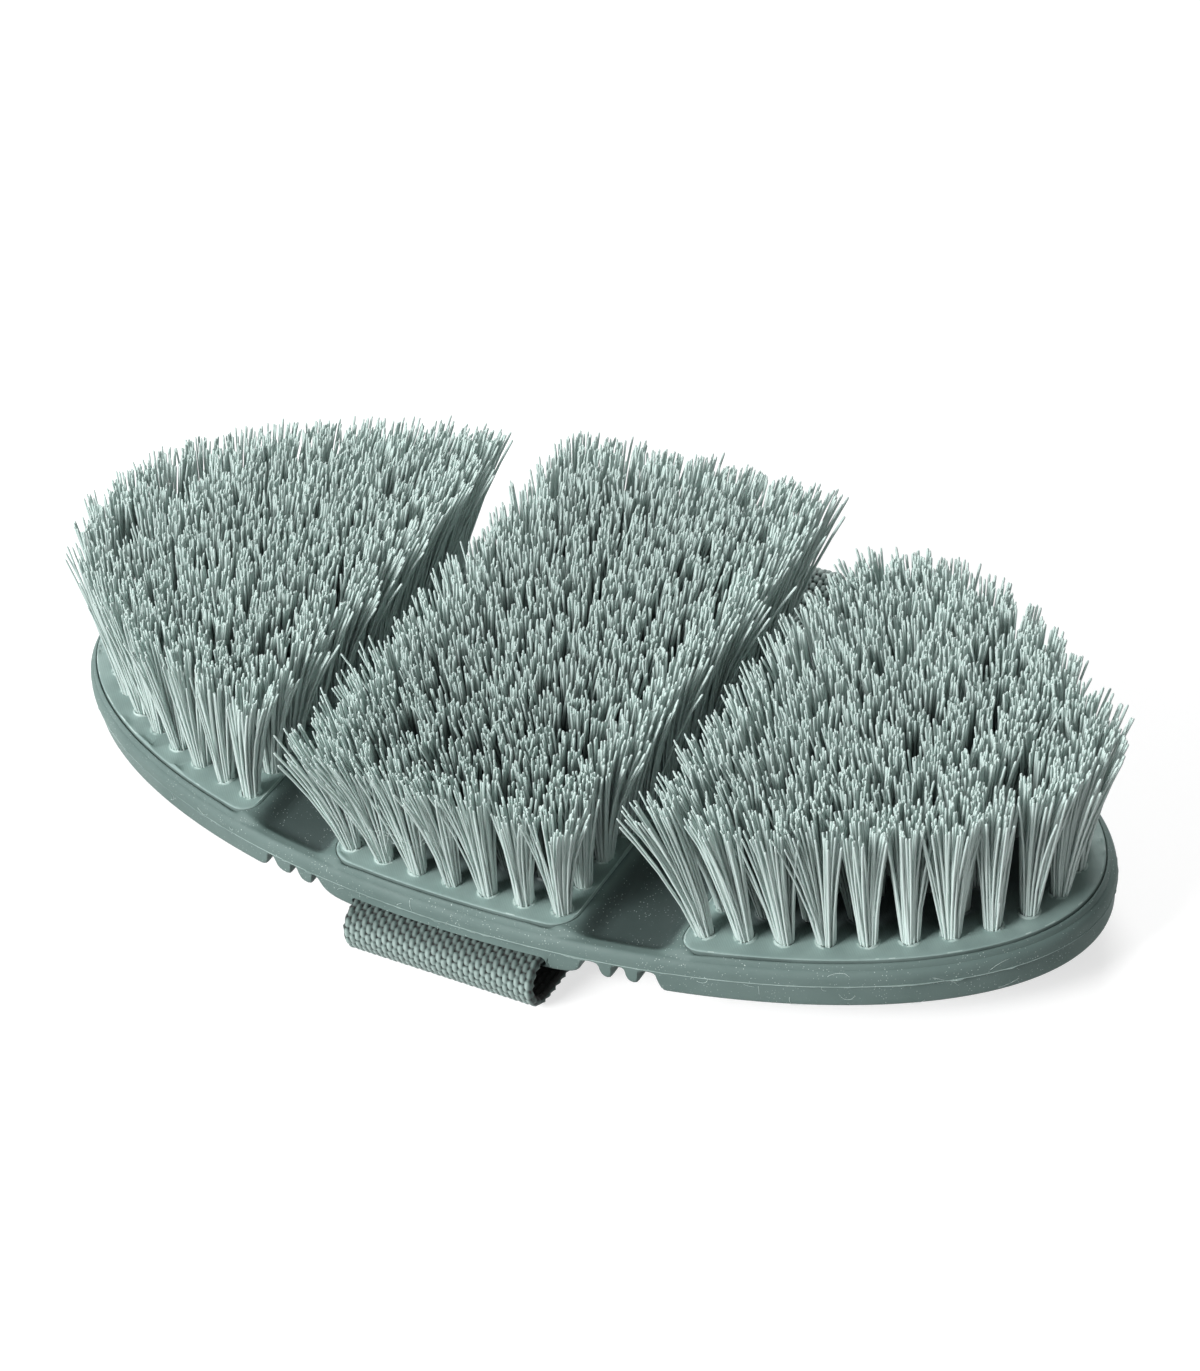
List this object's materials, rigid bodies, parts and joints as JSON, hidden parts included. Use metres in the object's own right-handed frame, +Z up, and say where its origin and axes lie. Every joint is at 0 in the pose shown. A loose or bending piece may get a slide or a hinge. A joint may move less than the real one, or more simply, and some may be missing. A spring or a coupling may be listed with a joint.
{
  "type": "horse body brush",
  "caption": "Flexible oval grooming brush: soft rubber body with hinged wings, upright bristle blocks and a webbing hand strap across the back.",
  "frame": {"origin": "under the middle of the oval body, on the surface that the strap's flat underside rests on", "axes": "+X along the brush, +Y across it to the far side, +Z up through the bristles"},
  "size_m": [0.2069, 0.119, 0.0444],
  "materials": {
    "rubber": "matte moulded rubber, sage green-grey, with fine dust",
    "plate": "satin moulded plastic, sage green-grey",
    "bristle": "satin synthetic filament, pale sage with lighter rounded tips",
    "webbing": "coarse woven webbing, dark sage",
    "staple": "plain steel wire"
  },
  "bodies": {
    "middle": {"rubber_middle": "rubber", "flex_band_left": "rubber", "flex_band_right": "rubber", "block_middle": "plate", "bristles_middle": "bristle", "hand_strap": "webbing", "staple_near_left": "staple", "staple_near_right": "staple", "staple_far_left": "staple", "staple_far_right": "staple"},
    "left_wing": {"rubber_left": "rubber", "block_left": "plate", "bristles_left": "bristle"},
    "right_wing": {"rubber_right": "rubber", "block_right": "plate", "bristles_right": "bristle"}
  },
  "joints": [
    {"name": "left_flex", "type": "hinge", "parent": "middle", "child": "left_wing", "pos_m": [-0.03355, 0, 0.0127], "axis": [0, 1, 0], "range_deg": [-25, 14], "stiffness_Nm_per_rad": 0.8, "deforming": ["flex_band_left"]},
    {"name": "right_flex", "type": "hinge", "parent": "middle", "child": "right_wing", "pos_m": [0.03355, 0, 0.0127], "axis": [0, -1, 0], "range_deg": [-25, 14], "stiffness_Nm_per_rad": 0.8, "deforming": ["flex_band_right"]}
  ]
}
